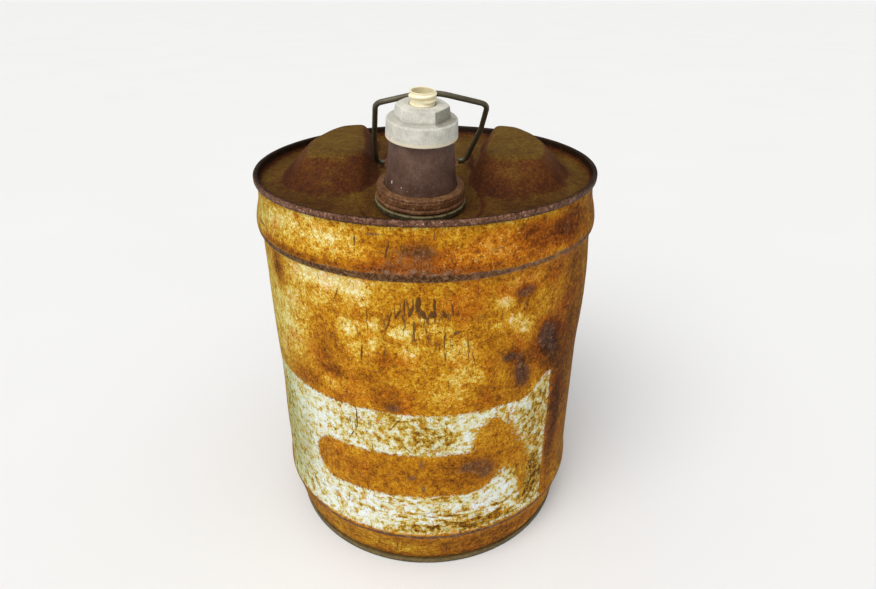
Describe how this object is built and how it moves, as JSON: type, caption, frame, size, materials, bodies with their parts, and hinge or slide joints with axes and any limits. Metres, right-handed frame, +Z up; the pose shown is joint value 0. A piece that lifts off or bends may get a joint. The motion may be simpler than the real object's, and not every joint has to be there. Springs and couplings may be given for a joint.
{
  "type": "steel pail",
  "caption": "Round tight-head steel pail with a recessed pressed top, a tilted screw-on pouring spout with a nozzle nut, and a folding wire bail handle.",
  "frame": {"origin": "middle of the foot, on the surface the pail stands on", "axes": "+Z up along the pail; the spout is at the front, towards -Y; +X is to the right of someone facing the spout"},
  "size_m": [0.2937, 0.2934, 0.4149],
  "materials": {
    "painted_body": "worn yellow and cream paint over rust",
    "rusty_top": "dark brown rust",
    "rusty_bottom": "brown rust",
    "brown_steel": "dark brown oily steel",
    "dark_neck": "smooth dark brown, dull",
    "grey_zinc": "chalky oxidised zinc casting",
    "cream_plastic": "aged cream plastic",
    "wire_steel": "dark olive brown wire",
    "gasket_rubber": "black rubber",
    "seam_compound": "dried lining compound"
  },
  "bodies": {
    "can": {"body_shell": "painted_body", "top_head": "rusty_top", "bottom_head": "rusty_bottom", "neck_ring": "brown_steel", "handle_clip": "brown_steel", "neck_gasket": "gasket_rubber", "collar_gasket": "gasket_rubber", "top_seam_compound": "seam_compound", "bottom_seam_compound": "seam_compound"},
    "bail": {"bail_handle": "wire_steel"},
    "spout": {"spout_neck": "dark_neck", "nozzle_gasket": "gasket_rubber"},
    "collar": {"spout_collar": "brown_steel"},
    "nozzle": {"pour_nozzle": "cream_plastic"},
    "nut": {"nozzle_nut": "grey_zinc"}
  },
  "joints": [
    {"name": "bail_swing", "type": "hinge", "parent": "can", "child": "bail", "pos_m": [-0.00405, 0.00135, 0.3395], "axis": [-0.9922, -0.1245, 0], "range_deg": [0, 130]},
    {"name": "spout_lift", "type": "slide", "parent": "can", "child": "spout", "axis": [0.0419, -0.1218, 0.9917], "range_m": [0, 0.00302]},
    {"name": "collar_turn", "type": "hinge", "parent": "spout", "child": "collar", "pos_m": [0.00046, -0.08134, 0.34091], "axis": [0.0419, -0.1218, 0.9917], "range_deg": [0, 360]},
    {"name": "nozzle_lift", "type": "slide", "parent": "spout", "child": "nozzle", "axis": [0.0419, -0.1218, 0.9917], "range_m": [0, 0.00302]},
    {"name": "nut_turn", "type": "hinge", "parent": "nozzle", "child": "nut", "pos_m": [0.00251, -0.08731, 0.3895], "axis": [0.0419, -0.1218, 0.9917], "range_deg": [0, 360]}
  ],
  "couplings": [
    {"joint": "spout_lift", "follows": "collar_turn", "m_per_rad": 0.00047746},
    {"joint": "nozzle_lift", "follows": "nut_turn", "m_per_rad": 0.00047746}
  ]
}
